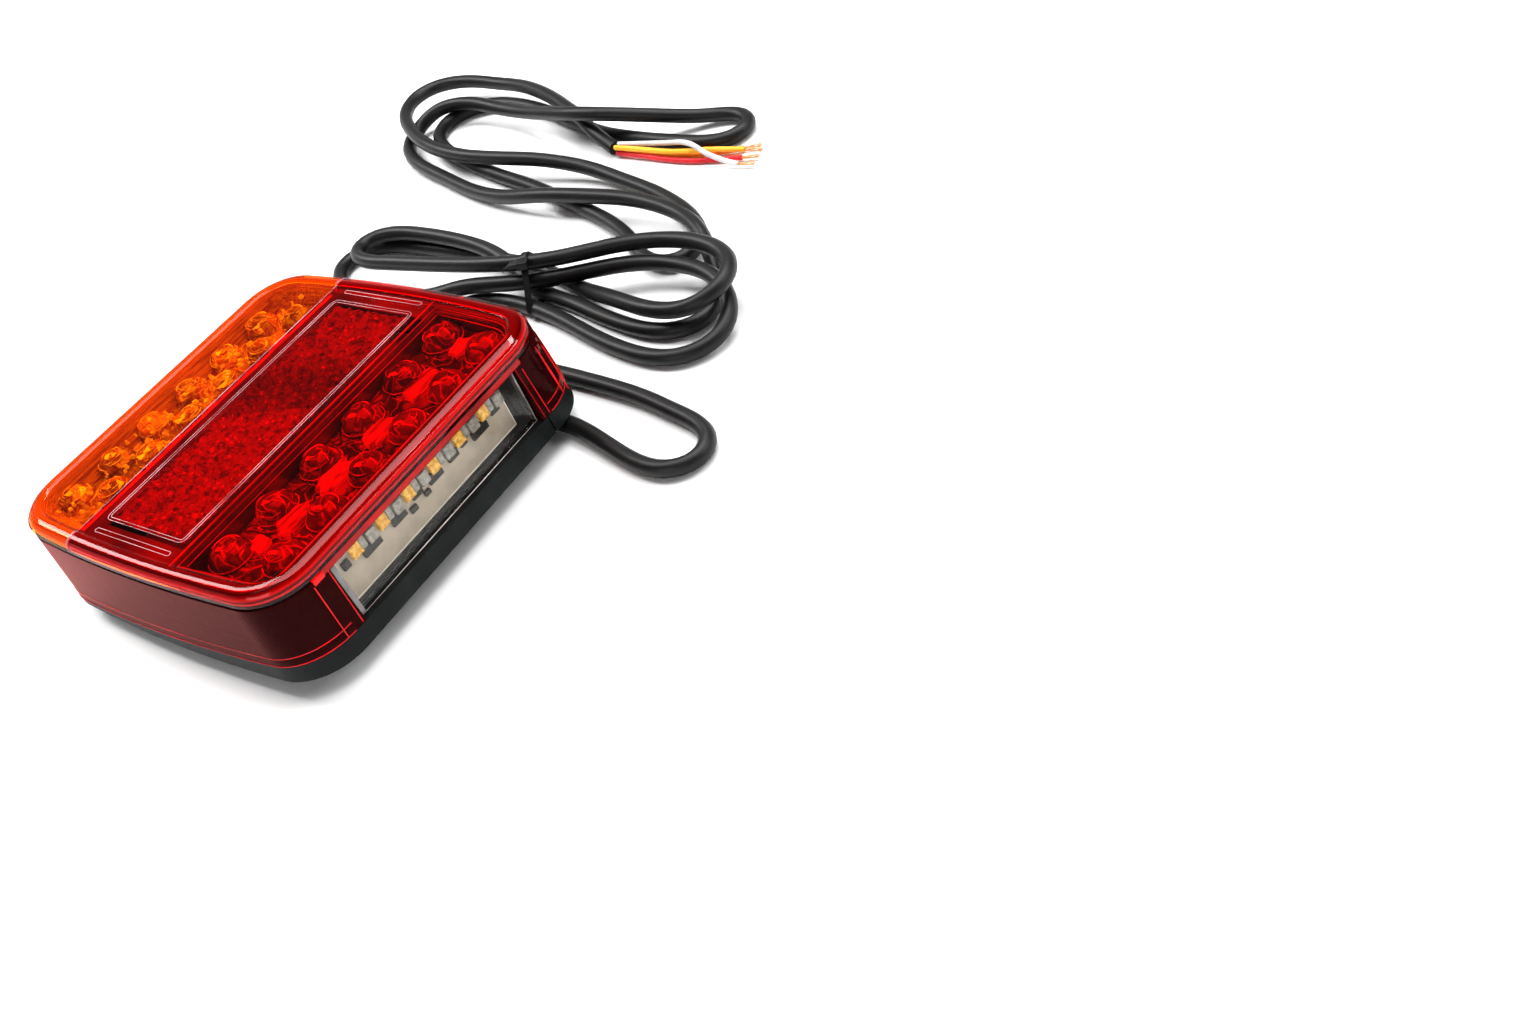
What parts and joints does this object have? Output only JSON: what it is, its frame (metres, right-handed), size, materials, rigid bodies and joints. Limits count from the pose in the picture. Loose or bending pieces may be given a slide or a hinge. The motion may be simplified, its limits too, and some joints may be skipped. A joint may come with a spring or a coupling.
{
  "type": "trailer tail light",
  "caption": "Square LED trailer lamp with indicator, reflex reflector, stop and tail light, a number plate window and a free cable at the back.",
  "frame": {"origin": "on the surface the lamp lies on, under the middle of its body; the free cable is left out of the measure", "axes": "+Z out of the lens face, +X towards the number plate window, +Y towards the side where the cable leaves"},
  "size_m": [0.2135, 0.2277, 0.0307],
  "materials": {
    "base_black": "satin black moulded plastic",
    "rubber": "matt black moulded strain relief",
    "jacket": "satin black PVC cable jacket",
    "tie": "satin black nylon",
    "gasket": "thin black seal",
    "insert_brass": "knurled brass insert",
    "potting": "glossy dark resin",
    "smoked_lens": "clear dark red smoked plastic",
    "red_lens": "glossy clear red plastic",
    "amber_lens": "glossy clear amber plastic",
    "reflex_red": "prismatic reflector behind clear red plastic",
    "stop_tray": "dark red glossy tray",
    "stop_optic": "clear optic seen through red",
    "indicator_tray": "satin tray seen through amber",
    "indicator_optic": "clear optic seen through amber",
    "divider": "matt black",
    "circuit_board": "white solder resist",
    "clear_window": "clear plastic",
    "chamber_grey": "grey glossy",
    "cream_board": "cream solder resist",
    "stop_led": "LED in its package",
    "indicator_led": "LED in its package",
    "plate_led": "LED with amber phosphor",
    "wire_white": "white PVC, stripped copper end",
    "wire_red": "red PVC, stripped copper end",
    "wire_orange": "orange PVC, stripped copper end",
    "wire_yellow": "yellow PVC, stripped copper end"
  },
  "bodies": {
    "root": {"amber_lens": "amber_lens", "base_housing": "base_black", "cable_gland": "rubber", "cable_hank_far": "jacket", "cable_hank_near": "jacket", "cable_lead": "jacket", "cable_tail": "jacket", "cable_tie": "tie", "chamber_divider": "divider", "face_gasket": "gasket", "fixing_insert_amber_side": "insert_brass", "fixing_insert_window_side": "insert_brass", "indicator_led_1": "indicator_led", "indicator_led_10": "indicator_led", "indicator_led_11": "indicator_led", "indicator_led_12": "indicator_led", "indicator_led_2": "indicator_led", "indicator_led_3": "indicator_led", "indicator_led_4": "indicator_led", "indicator_led_5": "indicator_led", "indicator_led_6": "indicator_led", "indicator_led_7": "indicator_led", "indicator_led_8": "indicator_led", "indicator_led_9": "indicator_led", "indicator_optic": "indicator_optic", "indicator_tray": "indicator_tray", "main_board": "circuit_board", "plate_board": "cream_board", "plate_chamber": "chamber_grey", "plate_led_1": "plate_led", "plate_led_2": "plate_led", "plate_led_3": "plate_led", "plate_led_4": "plate_led", "plate_led_5": "plate_led", "plate_led_6": "plate_led", "plate_window": "clear_window", "potting_resin": "potting", "red_lens": "red_lens", "reflex_reflector": "reflex_red", "smoked_skirt": "smoked_lens", "stop_led_1": "stop_led", "stop_led_10": "stop_led", "stop_led_11": "stop_led", "stop_led_12": "stop_led", "stop_led_2": "stop_led", "stop_led_3": "stop_led", "stop_led_4": "stop_led", "stop_led_5": "stop_led", "stop_led_6": "stop_led", "stop_led_7": "stop_led", "stop_led_8": "stop_led", "stop_led_9": "stop_led", "stop_optic": "stop_optic", "stop_tray": "stop_tray", "wire_orange": "wire_orange", "wire_red": "wire_red", "wire_white": "wire_white", "wire_yellow": "wire_yellow"}
  },
  "joints": []
}
